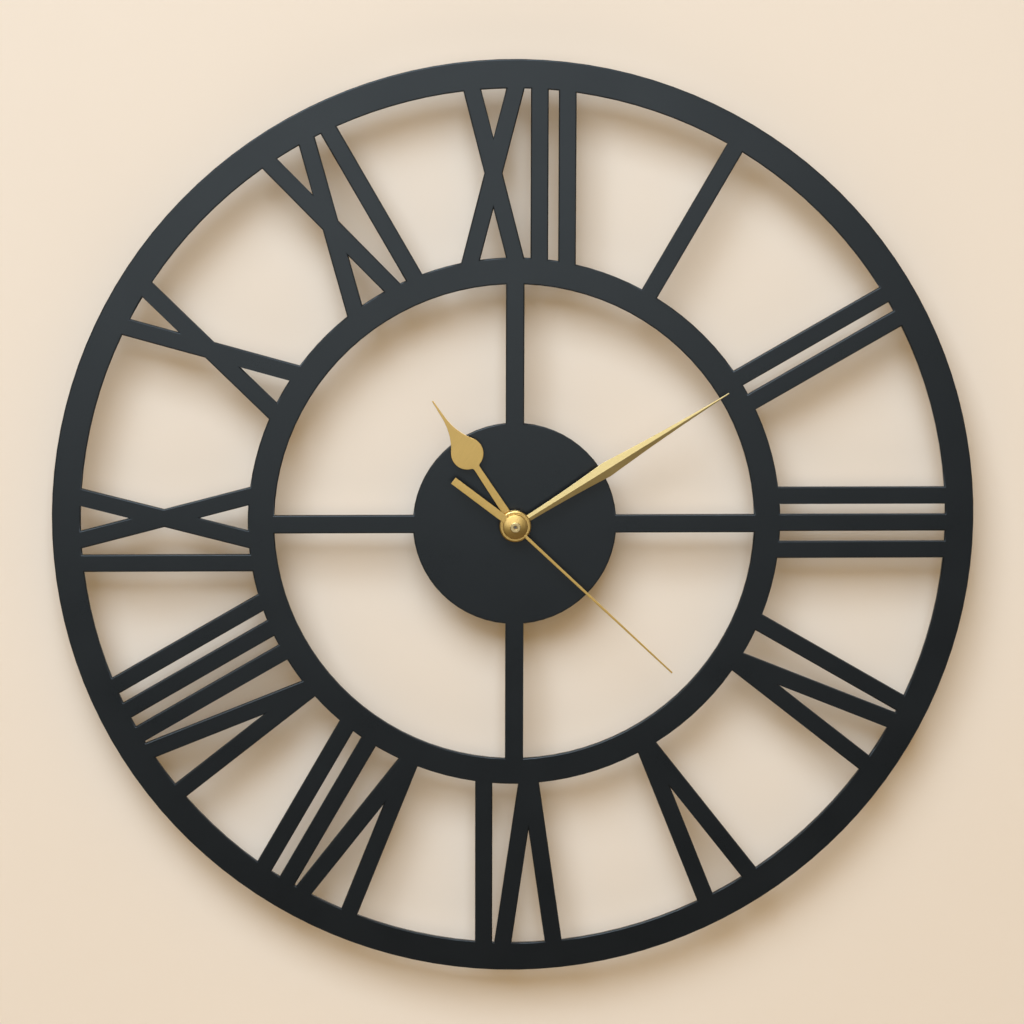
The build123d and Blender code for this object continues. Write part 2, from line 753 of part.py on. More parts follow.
with BuildPart() as quartz_crystal:
    crystal_bottom = board_bottom + board_height * 2 / 3
    crystal_centre = (board_middle, -board_front - crystal_diameter / 2, axis_z + crystal_bottom)
    with BuildSketch(Plane(origin=crystal_centre, x_dir=(1, 0, 0), z_dir=(0, 0, 1))):
        Circle(crystal_diameter / 2)
    extrude(amount=crystal_length)
quartz_crystal.part.label = "quartz_crystal"
export_step(quartz_crystal.part, "parts/quartz_crystal.step")

# Stepping motor: stator round the rotor's magnet, with the coil across its two arms
with BuildPart() as stator_plate:
    with BuildSketch(depth_plane(stator_depth, rotor_axis)):
        Circle(stator_ring_radius)
        Rectangle(core_length, stator_arm_width)
        arm_rise = coil_height - rotor_height + stator_arm_width
        for x in (-arm_x, arm_x):
            with Locations((x, arm_rise / 2 - stator_arm_width / 2)):
                Rectangle(stator_arm_width, arm_rise)
        Circle(magnet_diameter / 2 + magnet_air_gap, mode=Mode.SUBTRACT)
    extrude(amount=stator_thickness)
stator_plate.part.label = "stator_plate"
export_step(stator_plate.part, "parts/stator_plate.step")

with BuildPart() as coil_core:
    core_low = coil_height - stator_arm_width / 2
    core_high = coil_height + stator_arm_width / 2
    core_half = core_length / 2
    block(depth_plane(core_depth), -core_half, core_half, core_low, core_high, core_thickness)
coil_core.part.label = "coil_core"
export_step(coil_core.part, "parts/coil_core.step")

coil_plane = Plane(
    origin=(-bobbin_length / 2, -coil_depth, axis_z + coil_height), x_dir=(0, 1, 0), z_dir=(1, 0, 0)
)
winding_length = bobbin_length - 2 * bobbin_flange_thickness
with BuildPart() as coil_bobbin:
    with BuildSketch(coil_plane, coil_plane.offset(bobbin_length - bobbin_flange_thickness)):
        Rectangle(bobbin_flange_size, bobbin_flange_size)
    extrude(amount=bobbin_flange_thickness)
    with BuildSketch(coil_plane.offset(bobbin_flange_thickness)):
        Circle(bobbin_barrel_diameter / 2)
    extrude(amount=winding_length)
    with BuildSketch(coil_plane):
        Rectangle(core_thickness, stator_arm_width)
    extrude(amount=bobbin_length, mode=Mode.SUBTRACT)
coil_bobbin.part.label = "coil_bobbin"
export_step(coil_bobbin.part, "parts/coil_bobbin.step")

with BuildPart() as coil_winding:
    with BuildSketch(coil_plane.offset(bobbin_flange_thickness)):
        Circle(winding_diameter / 2)
        Circle(bobbin_barrel_diameter / 2, mode=Mode.SUBTRACT)
    extrude(amount=winding_length)
coil_winding.part.label = "coil_winding"
export_step(coil_winding.part, "parts/coil_winding.step")

# Train, from the rotor to the hour wheel. Directions are angles between arbors, from the front.
up = pi / 2
left = pi
right = 0.0
rotor_module = module_of(rotor_centres, intermediate_teeth, rotor_pinion_teeth)
intermediate_module = module_of(intermediate_centres, second_teeth, intermediate_pinion_teeth)
third_module = module_of(train_centres, third_teeth, second_pinion_teeth)
centre_module = module_of(train_centres, centre_teeth, third_pinion_teeth)
minute_module = module_of(motion_centres, minute_wheel_teeth, cannon_teeth)
hour_module = module_of(motion_centres, hour_teeth, minute_pinion_teeth)
pinion_length = wheel_thickness + 2 * pinion_overrun

with BuildPart() as rotor_magnet:
    disc(depth_plane(magnet_depth, rotor_axis), magnet_diameter, magnet_thickness)
    bore(depth_plane(magnet_depth, rotor_axis), arbor_diameter, magnet_thickness)
rotor_magnet.part.label = "rotor_magnet"
export_step(rotor_magnet.part, "parts/rotor_magnet.step")

with BuildPart() as rotor_pinion:
    arbor(rotor_axis, case_wall, middle_plate_depth)
    rotor_phase = mesh_phase(up, 0.0, intermediate_teeth, rotor_pinion_teeth)
    rotor_plane = depth_plane(rotor_pinion_depth, rotor_axis)
    pinion(rotor_plane, pinion_length, rotor_pinion_teeth, rotor_module, rotor_phase)
rotor_pinion.part.label = "rotor_pinion"
export_step(rotor_pinion.part, "parts/rotor_pinion.step")

with BuildPart() as intermediate_wheel:
    arbor(intermediate_axis, case_wall, middle_plate_depth)
    intermediate_phase = mesh_phase(up, 0.0, second_teeth, intermediate_pinion_teeth)
    pinion_depth = second_wheel_depth - pinion_overrun
    pinion_rise = intermediate_depth - pinion_depth
    pinion(
        depth_plane(pinion_depth, intermediate_axis),
        pinion_rise,
        intermediate_pinion_teeth,
        intermediate_module,
        intermediate_phase,
    )
    wheel_plane = depth_plane(intermediate_depth, intermediate_axis)
    wheel(wheel_plane, wheel_thickness, intermediate_teeth, rotor_module, 0.0)
intermediate_wheel.part.label = "intermediate_wheel"
export_step(intermediate_wheel.part, "parts/intermediate_wheel.step")

second_pinion_depth = third_depth - pinion_overrun
second_pinion_front = third_depth + wheel_thickness + pinion_overrun
with BuildPart() as second_wheel:
    wheel(depth_plane(second_wheel_depth), wheel_thickness, second_teeth, intermediate_module, 0.0)
    sleeve_depth = second_wheel_depth + wheel_thickness
    disc(depth_plane(sleeve_depth), sleeve_diameter, second_pinion_depth - sleeve_depth)
    pinion(depth_plane(second_pinion_depth), pinion_length, second_pinion_teeth, third_module, 0.0)
    bore_length = second_pinion_front - second_wheel_depth
    bore(depth_plane(second_wheel_depth), second_shaft_diameter, bore_length)
second_wheel.part.label = "second_wheel"
export_step(second_wheel.part, "parts/second_wheel.step")

with BuildPart() as second_shaft:
    shaft_depth = case_wall + end_shake
    disc(depth_plane(shaft_depth), second_shaft_diameter, tube_front - dimple_depth - shaft_depth)
    disc(depth_plane(shaft_depth - pivot_depth), pivot_diameter, pivot_depth)
second_shaft.part.label = "second_shaft"
export_step(second_shaft.part, "parts/second_shaft.step")

with BuildPart() as third_wheel:
    arbor(third_axis, middle_plate_depth + middle_plate_thickness, cover_depth)
    third_phase = mesh_phase(left, 0.0, second_pinion_teeth, third_teeth)
    wheel(depth_plane(third_depth, third_axis), wheel_thickness, third_teeth, third_module, third_phase)
    third_pinion_depth = third_depth + wheel_thickness
    third_pinion_rise = centre_depth + wheel_thickness + pinion_overrun - third_pinion_depth
    pinion_plane = depth_plane(third_pinion_depth, third_axis)
    pinion(pinion_plane, third_pinion_rise, third_pinion_teeth, centre_module, 0.0)
third_wheel.part.label = "third_wheel"
export_step(third_wheel.part, "parts/third_wheel.step")

with BuildPart() as centre_wheel:
    centre_phase = mesh_phase(right, 0.0, third_pinion_teeth, centre_teeth)
    wheel(depth_plane(centre_depth), wheel_thickness, centre_teeth, centre_module, centre_phase)
    bore(depth_plane(centre_depth), minute_pipe_diameter, wheel_thickness)
centre_wheel.part.label = "centre_wheel"
export_step(centre_wheel.part, "parts/centre_wheel.step")

minute_pipe_front = minute_hand_depth + boss_thickness
with BuildPart() as minute_pipe:
    disc(depth_plane(centre_depth), minute_pipe_diameter, minute_pipe_front - centre_depth)
    cannon_depth = centre_depth + wheel_thickness
    cannon_length = minute_wheel_depth + wheel_thickness + pinion_overrun - cannon_depth
    pinion(depth_plane(cannon_depth), cannon_length, cannon_teeth, minute_module, 0.0)
    minute_bore = second_shaft_diameter + 2 * running_clearance
    bore(depth_plane(centre_depth), minute_bore, minute_pipe_front - centre_depth)
minute_pipe.part.label = "minute_pipe"
export_step(minute_pipe.part, "parts/minute_pipe.step")

with BuildPart() as minute_wheel:
    minute_phase = mesh_phase(right, 0.0, cannon_teeth, minute_wheel_teeth)
    wheel_plane = depth_plane(minute_wheel_depth, minute_wheel_axis)
    wheel(wheel_plane, wheel_thickness, minute_wheel_teeth, minute_module, minute_phase)
    minute_pinion_depth = minute_wheel_depth + wheel_thickness
    minute_pinion_rise = hour_wheel_depth + wheel_thickness + pinion_overrun - minute_pinion_depth
    pinion_plane = depth_plane(minute_pinion_depth, minute_wheel_axis)
    pinion(pinion_plane, minute_pinion_rise, minute_pinion_teeth, hour_module, 0.0)
    bore(wheel_plane, stem_diameter, wheel_thickness + minute_pinion_rise)
minute_wheel.part.label = "minute_wheel"
export_step(minute_wheel.part, "parts/minute_wheel.step")

with BuildPart() as setting_knob:
    with BuildSketch(depth_plane(knob_recess, minute_wheel_axis)):
        Circle(knob_diameter / 2)
        with PolarLocations(knob_diameter / 2, knob_flutes):
            Circle(flute_diameter / 2, mode=Mode.SUBTRACT)
    extrude(amount=knob_thickness)
    stem_depth = knob_recess + knob_thickness
    disc(depth_plane(stem_depth, minute_wheel_axis), stem_diameter, cover_depth - end_shake - stem_depth)
    disc(depth_plane(cover_depth - end_shake, minute_wheel_axis), pivot_diameter, pivot_depth)
setting_knob.part.label = "setting_knob"
export_step(setting_knob.part, "parts/setting_knob.step")

hour_pipe_front = hour_hand_depth + boss_thickness
with BuildPart() as hour_wheel:
    hour_phase = mesh_phase(left, 0.0, minute_pinion_teeth, hour_teeth)
    wheel(depth_plane(hour_wheel_depth), wheel_thickness, hour_teeth, hour_module, hour_phase)
    disc(depth_plane(hour_wheel_depth), bush_diameter, hour_hub_front - hour_wheel_depth)
    disc(depth_plane(hour_wheel_depth), hour_pipe_diameter, hour_pipe_front - hour_wheel_depth)
    hour_bore = minute_pipe_diameter + 2 * running_clearance
    bore(depth_plane(hour_wheel_depth), hour_bore, hour_pipe_front - hour_wheel_depth)
hour_wheel.part.label = "hour_wheel"
export_step(hour_wheel.part, "parts/hour_wheel.step")
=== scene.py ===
import json
import math

import bmesh
import bpy
from mathutils import Matrix, Quaternion, Vector


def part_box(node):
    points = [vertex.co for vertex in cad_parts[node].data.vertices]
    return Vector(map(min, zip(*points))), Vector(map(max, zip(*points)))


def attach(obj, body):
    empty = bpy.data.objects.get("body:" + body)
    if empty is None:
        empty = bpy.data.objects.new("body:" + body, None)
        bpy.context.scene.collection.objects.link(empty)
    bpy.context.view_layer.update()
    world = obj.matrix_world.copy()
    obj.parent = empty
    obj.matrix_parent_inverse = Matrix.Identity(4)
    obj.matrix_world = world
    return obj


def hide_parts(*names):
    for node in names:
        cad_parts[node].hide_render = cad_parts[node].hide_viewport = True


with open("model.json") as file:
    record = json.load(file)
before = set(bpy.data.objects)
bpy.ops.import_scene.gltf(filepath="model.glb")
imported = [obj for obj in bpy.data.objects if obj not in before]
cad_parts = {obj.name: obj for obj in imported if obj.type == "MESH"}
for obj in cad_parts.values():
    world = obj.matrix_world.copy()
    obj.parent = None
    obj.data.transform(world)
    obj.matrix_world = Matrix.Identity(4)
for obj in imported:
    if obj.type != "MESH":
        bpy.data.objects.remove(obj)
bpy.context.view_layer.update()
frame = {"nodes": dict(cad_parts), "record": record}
nodes = frame["nodes"]
scene = bpy.context.scene
scene.view_settings.view_transform = "Standard"
bodies = frame["record"]["behaviour"]["bodies"]
bodyOf = {node: body for body, members in bodies.items() for node in members}
slotOf = {row["node"]: row["material_slot"] for row in frame["record"]["subparts"]}
washerLow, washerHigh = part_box("nut_washer")
handsAxis = Vector((0, 0, washerLow.z + (washerHigh.z - washerLow.z) / 2))
print("frame loaded:", len(nodes), "nodes")


# Shader helpers: a Link is a node's output, and plain arithmetic on it adds Math nodes
class Link:
    def __init__(self, finish, socket):
        self.finish = finish
        self.socket = socket

    def maths(self, operation, first, second):
        return self.finish.node("ShaderNodeMath", {"operation": operation}, {0: first, 1: second})

    def __add__(self, other):
        return self.maths("ADD", self, other)

    def __radd__(self, other):
        return self.maths("ADD", other, self)

    def __sub__(self, other):
        return self.maths("SUBTRACT", self, other)

    def __rsub__(self, other):
        return self.maths("SUBTRACT", other, self)

    def __mul__(self, other):
        return self.maths("MULTIPLY", self, other)

    def __rmul__(self, other):
        return self.maths("MULTIPLY", other, self)

    def __gt__(self, other):
        return self.maths("GREATER_THAN", self, other)

    def __lt__(self, other):
        return self.maths("LESS_THAN", self, other)

    def sway(self, amount):  # a pattern round 0.5 becomes one round 0
        return amount * (self - 0.5)


class Finish:
    def __init__(self, name, tree=None):
        self.material = None
        if tree is None:
            self.material = bpy.data.materials.new(name)
            self.material.use_nodes = True
            tree = self.material.node_tree
        self.tree = tree
        self.tree.nodes.clear()

    def node(self, kind, settings=None, sockets=None, output=0):
        made = self.tree.nodes.new(kind)
        for key, value in (settings or {}).items():
            if key == "stops":
                while len(made.color_ramp.elements) < len(value):
                    made.color_ramp.elements.new(1.0)
                for stop, (place, colour) in zip(made.color_ramp.elements, value):
                    stop.position = place
                    stop.color = (*colour, 1.0)
            else:
                setattr(made, key, value)
        for key, value in (sockets or {}).items():
            if isinstance(value, Link):
                self.tree.links.new(value.socket, made.inputs[key])
            else:
                made.inputs[key].default_value = value
        return Link(self, made.outputs[output]) if made.outputs else None

    def place(self):
        return self.node("ShaderNodeTexCoord", output="Object")

    def turned(self, vector, angle):
        sockets = {"Vector": vector, "Rotation": (0, angle, 0)}
        return self.node("ShaderNodeMapping", {"vector_type": "POINT"}, sockets)

    def stretch(self, vector, by):
        return self.node("ShaderNodeVectorMath", {"operation": "MULTIPLY"}, {0: vector, 1: by})

    def part(self, vector, axis):
        return self.node("ShaderNodeSeparateXYZ", {}, {0: vector}, axis)

    def spread(self, vector, centre, along):
        moved = self.node("ShaderNodeVectorMath", {"operation": "SUBTRACT"}, {0: vector, 1: centre})
        flat = self.stretch(moved, along)
        return self.node("ShaderNodeVectorMath", {"operation": "LENGTH"}, {0: flat}, "Value")

    def noise(self, vector, scale, detail=2.0, rough=0.5):
        sockets = {"Vector": vector, "Scale": scale, "Detail": detail, "Roughness": rough}
        return self.node("ShaderNodeTexNoise", {}, sockets)

    def rings(self, radius, scale):
        sockets = {"W": radius, "Scale": scale, "Detail": 2.0}
        return self.node("ShaderNodeTexNoise", {"noise_dimensions": "1D"}, sockets)

    def cells(self, vector, scale):
        return self.node("ShaderNodeTexVoronoi", {}, {"Vector": vector, "Scale": scale}, "Color")

    def tint(self, amount, first, second):
        pick = {0: amount}
        for key, colour in ((6, first), (7, second)):  # the colour inputs of a Mix node
            pick[key] = colour if isinstance(colour, Link) else (*colour, 1.0)
        return self.node("ShaderNodeMix", {"data_type": "RGBA"}, pick, 2)

    def bump(self, height, distance, strength):
        sockets = {"Height": height, "Distance": distance, "Strength": strength}
        return self.node("ShaderNodeBump", {}, sockets)

    def ray(self, kind):
        return self.node("ShaderNodeLightPath", output=kind)

    def blend(self, amount, first, second):
        return self.node("ShaderNodeMixShader", {}, {0: amount, 1: first, 2: second})

    def close(self, shader):
        self.node("ShaderNodeOutputMaterial", {}, {"Surface": shader})
        return self.material

    def surface(self, sockets):
        return self.close(self.node("ShaderNodeBsdfPrincipled", {}, sockets))


# Satin black powder coat: a fine orange peel, with slow changes of tone and gloss
blackCoat = {
    "dark": (0.0040, 0.0051, 0.0065), "light": (0.0054, 0.0067, 0.0083), "sheen": (0.88, 0.95, 1.0, 1.0),
    "slowScale": 38, "peelScale": 1400, "speckScale": 5200,
    "roughness": 0.31, "roughnessSway": 0.10,
    "peelDepth": 0.00002, "peelStrength": 0.5, "speckHeight": 0.35,
}


def makeBlackCoat():
    coat = Finish("blackCoat")
    place = coat.place()
    slow = coat.noise(place, blackCoat["slowScale"], detail=3)
    peel = coat.noise(place, blackCoat["peelScale"], detail=2, rough=0.6)
    speck = coat.noise(place, blackCoat["speckScale"], detail=1)
    height = peel + blackCoat["speckHeight"] * speck
    sway = blackCoat["roughnessSway"]
    return coat.surface({
        "Base Color": coat.tint(slow, blackCoat["dark"], blackCoat["light"]),
        "Roughness": blackCoat["roughness"] + slow.sway(sway) + speck.sway(sway),
        "Normal": coat.bump(height, blackCoat["peelDepth"], blackCoat["peelStrength"]),
        "Specular Tint": blackCoat["sheen"],
    })


# Lacquered brass for the hands: brushed lightly along each one, turned brighter round the axis, with some
# painted highlight and shade
satinBrass = {
    "deep": (0.535, 0.315, 0.071), "pale": (0.915, 0.605, 0.193),
    # a paler, greener straw copy of the brass for the minute hand: painted highlight and shade standing in
    # for the light on its two facets
    "minuteSheenDeep": (0.455, 0.312, 0.098), "minuteSheenPale": (0.79, 0.585, 0.255),
    "brush": (5200, 5200, 160), "grainScale": 2600, "cloudScale": 120, "ringScale": 7000,
    "lineShare": 0.45, "grainShare": 0.30, "cloudShare": 0.25,
    "roughness": 0.52, "grainSway": 0.14, "cloudSway": 0.08,
    "turnedRadius": 0.0071, "turnedRoughness": 0.34,
    "lineHeight": 0.6, "grainHeight": 0.4, "bumpDepth": 0.00002, "bumpStrength": 0.35,
    "lacquer": 0.8, "lacquerRoughness": 0.2,
}
handTube = {
    "radius": 0.00226, "deep": (0.63, 0.45, 0.19), "pale": (0.88, 0.68, 0.34),
    # inside this radius the tube's end is painted dark brown: painted shade in its dimple
    "holeShadeRadius": 0.00098, "holeShade": (0.34, 0.21, 0.07), "holeShadePale": (0.46, 0.30, 0.12),
}


def makeSatinBrass(name, angle, deep, pale):
    brass = Finish(name)
    place = brass.turned(brass.place(), math.radians(angle))
    brushed = brass.noise(brass.stretch(place, satinBrass["brush"]), 1.0, detail=3, rough=0.6)
    grain = brass.noise(place, satinBrass["grainScale"], detail=2, rough=0.7)
    cloud = brass.noise(place, satinBrass["cloudScale"], detail=2)
    radius = brass.spread(brass.place(), handsAxis, (1, 0, 1))
    turned = radius < satinBrass["turnedRadius"]
    rings = brass.rings(radius, satinBrass["ringScale"])
    lines = turned * rings + (1 - turned) * brushed
    shades = satinBrass["lineShare"] * lines + satinBrass["grainShare"] * grain
    tone = shades + satinBrass["cloudShare"] * cloud
    flatTone = brass.tint(tone, deep, pale)
    turnedTone = brass.tint(tone, satinBrass["deep"], satinBrass["pale"])
    # dark tones for the dimple in the tube's end: painted shade in the hole
    holeShadeTone = brass.tint(tone, handTube["holeShade"], handTube["holeShadePale"])
    endTone = brass.tint(tone, handTube["deep"], handTube["pale"])
    handTone = brass.tint(turned, flatTone, turnedTone)
    # the dimple in the tube's end takes the painted shade
    tubeTone = brass.tint(radius < handTube["holeShadeRadius"], endTone, holeShadeTone)
    smoother = satinBrass["roughness"] - satinBrass["turnedRoughness"]
    roughness = satinBrass["roughness"] - turned * smoother
    height = satinBrass["lineHeight"] * lines + satinBrass["grainHeight"] * grain
    return brass.surface({
        "Base Color": brass.tint(radius < handTube["radius"], handTone, tubeTone),
        "Metallic": 1.0,
        "Roughness": roughness + grain.sway(satinBrass["grainSway"]) + cloud.sway(satinBrass["cloudSway"]),
        "Normal": brass.bump(height, satinBrass["bumpDepth"], satinBrass["bumpStrength"]),
        "Coat Weight": satinBrass["lacquer"],
        "Coat Roughness": satinBrass["lacquerRoughness"],
    })


# Turned brass for bush, nut and washer: rings from the lathe round the hands' axis
turnedBrass = {
    "deep": (0.55, 0.36, 0.12), "pale": (0.76, 0.56, 0.25), "ringScale": 9000, "patchScale": 500,
    "ringShare": 0.5, "patchShare": 0.5, "roughness": 0.24, "patchRoughness": 0.16,
    "bumpDepth": 0.00001, "bumpStrength": 0.4,
}


def makeTurnedBrass():
    brass = Finish("turnedBrass")
    place = brass.place()
    radius = brass.spread(place, handsAxis, (1, 0, 1))
    rings = brass.rings(radius, turnedBrass["ringScale"])
    patch = brass.noise(place, turnedBrass["patchScale"], detail=2)
    tone = turnedBrass["ringShare"] * rings + turnedBrass["patchShare"] * patch
    return brass.surface({
        "Base Color": brass.tint(tone, turnedBrass["deep"], turnedBrass["pale"]),
        "Metallic": 1.0,
        "Roughness": turnedBrass["roughness"] + turnedBrass["patchRoughness"] * patch,
        "Normal": brass.bump(rings, turnedBrass["bumpDepth"], turnedBrass["bumpStrength"]),
    })


# Zinc-plated sheet: faint spangles, with a cool tone
zincSteel = {
    "cool": (0.50, 0.52, 0.54), "warm": (0.62, 0.62, 0.60), "spangleScale": 420, "drawing": (3800, 400, 400),
    "spangleShare": 0.7, "drawnShare": 0.3,
    "roughness": 0.34, "spangleRoughness": 0.12, "drawnRoughness": 0.06,
    "bumpDepth": 0.00001, "bumpStrength": 0.3,
}


def makeZincSteel():
    zinc = Finish("zincSteel")
    place = zinc.place()
    spangle = zinc.part(zinc.cells(place, zincSteel["spangleScale"]), "X")
    drawn = zinc.noise(zinc.stretch(place, zincSteel["drawing"]), 1.0, detail=3)
    tone = zincSteel["spangleShare"] * spangle + zincSteel["drawnShare"] * drawn
    uneven = zincSteel["spangleRoughness"] * spangle + zincSteel["drawnRoughness"] * drawn
    return zinc.surface({
        "Base Color": zinc.tint(tone, zincSteel["cool"], zincSteel["warm"]),
        "Metallic": 1.0,
        "Roughness": zincSteel["roughness"] + uneven,
        "Normal": zinc.bump(drawn, zincSteel["bumpDepth"], zincSteel["bumpStrength"]),
    })


# Moulded plastics: spark-eroded grain on the case, smoother on the inner pieces
plasticLook = {
    "slowScale": 70, "slowShare": 0.7, "fineShare": 0.3, "fineSway": 0.14, "slowSway": 0.08,
    "bumpStrength": 0.6,
}
plastics = {
    "black_rubber": {
        "name": "blackRubber", "dark": (0.012, 0.012, 0.012), "light": (0.022, 0.022, 0.022),
        "roughness": 0.75, "grain": 1800, "depth": 0.00002,
    },
    "black_plastic": {
        "name": "blackPlastic", "dark": (0.013, 0.013, 0.0145), "light": (0.021, 0.021, 0.023),
        "roughness": 0.56, "grain": 2600, "depth": 0.00003,
    },
    "natural_plastic": {
        "name": "naturalPlastic", "dark": (0.66, 0.65, 0.60), "light": (0.78, 0.77, 0.73),
        "roughness": 0.46, "grain": 1500, "depth": 0.00001,
    },
    "gear_plastic": {
        "name": "gearPlastic", "dark": (0.72, 0.71, 0.66), "light": (0.84, 0.83, 0.79),
        "roughness": 0.34, "grain": 1200, "depth": 0.000008,
    },
    "knob_plastic": {
        "name": "knobPlastic", "dark": (0.56, 0.55, 0.51), "light": (0.70, 0.69, 0.65),
        "roughness": 0.44, "grain": 2000, "depth": 0.00002,
    },
    "board_laminate": {
        "name": "boardLaminate", "dark": (0.20, 0.105, 0.035), "light": (0.34, 0.20, 0.08),
        "roughness": 0.52, "grain": 900, "depth": 0.00002,
    },
    "chip_resin": {
        "name": "chipResin", "dark": (0.008, 0.008, 0.008), "light": (0.016, 0.016, 0.016),
        "roughness": 0.22, "grain": 700, "depth": 0.00002,
    },
}


def makePlastic(name, dark, light, roughness, grain, depth):
    plastic = Finish(name)
    place = plastic.place()
    fine = plastic.noise(place, grain, detail=3, rough=0.6)
    slow = plastic.noise(place, plasticLook["slowScale"], detail=2)
    tone = plasticLook["slowShare"] * slow + plasticLook["fineShare"] * fine
    return plastic.surface({
        "Base Color": plastic.tint(tone, dark, light),
        "Roughness": roughness + fine.sway(plasticLook["fineSway"]) + slow.sway(plasticLook["slowSway"]),
        "Normal": plastic.bump(fine, depth, plasticLook["bumpStrength"]),
    })


# Metals inside the movement: a grain, and slower patches some times as large
metalLook = {
    "patchSize": 12, "fineShare": 0.5, "slowShare": 0.5, "fineSway": 0.14, "slowSway": 0.1,
    "bumpDepth": 0.00001, "bumpStrength": 0.3,
}
metals = {
    "nickel_plate": {
        "name": "nickelPlate", "dark": (0.58, 0.57, 0.53), "light": (0.72, 0.71, 0.67),
        "roughness": 0.24, "grain": 1600,
    },
    "crystal_can": {
        "name": "crystalCan", "dark": (0.60, 0.60, 0.60), "light": (0.76, 0.76, 0.75),
        "roughness": 0.16, "grain": 1400, "lengthways": (1, 1, 0.1),
    },
    "core_steel": {
        "name": "coreSteel", "dark": (0.13, 0.13, 0.13), "light": (0.22, 0.22, 0.22),
        "roughness": 0.34, "grain": 1800,
    },
    "magnet_grey": {
        "name": "magnetGrey", "dark": (0.07, 0.07, 0.075), "light": (0.13, 0.13, 0.135),
        "roughness": 0.48, "grain": 1500,
    },
}


def makeMetal(name, dark, light, roughness, grain, lengthways=(1, 1, 1)):
    metal = Finish(name)
    place = metal.stretch(metal.place(), lengthways)
    fine = metal.noise(place, grain, detail=3)
    slow = metal.noise(place, grain / metalLook["patchSize"], detail=2)
    tone = metalLook["fineShare"] * fine + metalLook["slowShare"] * slow
    return metal.surface({
        "Base Color": metal.tint(tone, dark, light),
        "Metallic": 1.0,
        "Roughness": roughness + fine.sway(metalLook["fineSway"]) + slow.sway(metalLook["slowSway"]),
        "Normal": metal.bump(fine, metalLook["bumpDepth"], metalLook["bumpStrength"]),
    })


# Enamelled copper wire: turns lie side by side along the bobbin, with painted shade in the grooves between
# them
copperWire = {
    "deep": (0.30, 0.095, 0.03), "pale": (0.62, 0.25, 0.09), "turn": 0.00012, "distortion": 0.4,
    "waveAtOne": 0.314,  # how far apart the Wave texture's bands are at a scale of 1
    "unevenScale": 900, "grooveShadeShare": 0.6, "unevenShare": 0.4,
    "metallic": 0.85, "roughness": 0.30, "unevenRoughness": 0.12, "bumpDepth": 0.00003, "bumpStrength": 0.6,
}


def makeCopperWire():
    copper = Finish("copperWire")
    place = copper.place()
    scale = copperWire["waveAtOne"] / copperWire["turn"]
    wave = {"Vector": place, "Scale": scale, "Distortion": copperWire["distortion"]}
    turns = copper.node("ShaderNodeTexWave", {"bands_direction": "X"}, wave, "Fac")
    uneven = copper.noise(place, copperWire["unevenScale"], detail=2)
    # the bands along the turns are painted shade in the grooves between them; the uneven noise is random tone
    tone = copperWire["grooveShadeShare"] * turns + copperWire["unevenShare"] * uneven
    return copper.surface({
        "Base Color": copper.tint(tone, copperWire["deep"], copperWire["pale"]),
        "Metallic": copperWire["metallic"],
        "Roughness": copperWire["roughness"] + copperWire["unevenRoughness"] * uneven,
        "Normal": copper.bump(turns, copperWire["bumpDepth"], copperWire["bumpStrength"]),
    })


# Cell: plain film wrap with a paler band, and bare metal at both ends
cellLow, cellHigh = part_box("aa_cell")
cellMiddle = (cellLow + cellHigh) / 2
cellWrap = {
    "bareRadius": 0.0063, "bandLength": 0.0125,
    "wrap": (0.018, 0.019, 0.021), "wrapLight": (0.030, 0.031, 0.034),
    "band": (0.42, 0.20, 0.075), "bandLight": (0.52, 0.27, 0.11), "bandMetallic": 0.8,
    "metal": (0.60, 0.60, 0.58), "metalLight": (0.72, 0.72, 0.70),
    "slowScale": 160, "fineScale": 2400, "roughness": 0.30, "slowRoughness": 0.08, "fineRoughness": 0.06,
    "bumpDepth": 0.00001, "bumpStrength": 0.25,
}


def makeCellWrap():
    wrap = Finish("cellWrap")
    place = wrap.place()
    radius = wrap.spread(place, cellMiddle, (0, 1, 1))
    bare = radius < cellWrap["bareRadius"]
    band = wrap.part(place, "X") > cellHigh.x - cellWrap["bandLength"]
    slow = wrap.noise(place, cellWrap["slowScale"], detail=2)
    fine = wrap.noise(place, cellWrap["fineScale"], detail=2)
    wrapTone = wrap.tint(slow, cellWrap["wrap"], cellWrap["wrapLight"])
    bandTone = wrap.tint(slow, cellWrap["band"], cellWrap["bandLight"])
    film = wrap.tint(band, wrapTone, bandTone)
    metal = wrap.tint(fine, cellWrap["metal"], cellWrap["metalLight"])
    uneven = cellWrap["slowRoughness"] * slow + cellWrap["fineRoughness"] * fine
    return wrap.surface({
        "Base Color": wrap.tint(bare, film, metal),
        "Metallic": bare + (1 - bare) * band * cellWrap["bandMetallic"],
        "Roughness": cellWrap["roughness"] + uneven,
        "Normal": wrap.bump(fine, cellWrap["bumpDepth"], cellWrap["bumpStrength"]),
    })


finishes = {
    "black_coat": makeBlackCoat(),
    "bright_brass": makeTurnedBrass(),
    "zinc_steel": makeZincSteel(),
    "cell_wrap": makeCellWrap(),
    "copper_wire": makeCopperWire(),
}
finishes.update({slot: makePlastic(**look) for slot, look in plastics.items()})
finishes.update({slot: makeMetal(**look) for slot, look in metals.items()})
print("finishes ready:", len(finishes))


# Modelling helpers, with lengths in metres and angles in degrees
meshing = {"weld": 0.000002, "samePlane": 0.000004, "flatAngle": 0.6, "crease": 35, "normalWeight": 90}


def weld(bm):
    bmesh.ops.remove_doubles(bm, verts=bm.verts, dist=meshing["weld"])


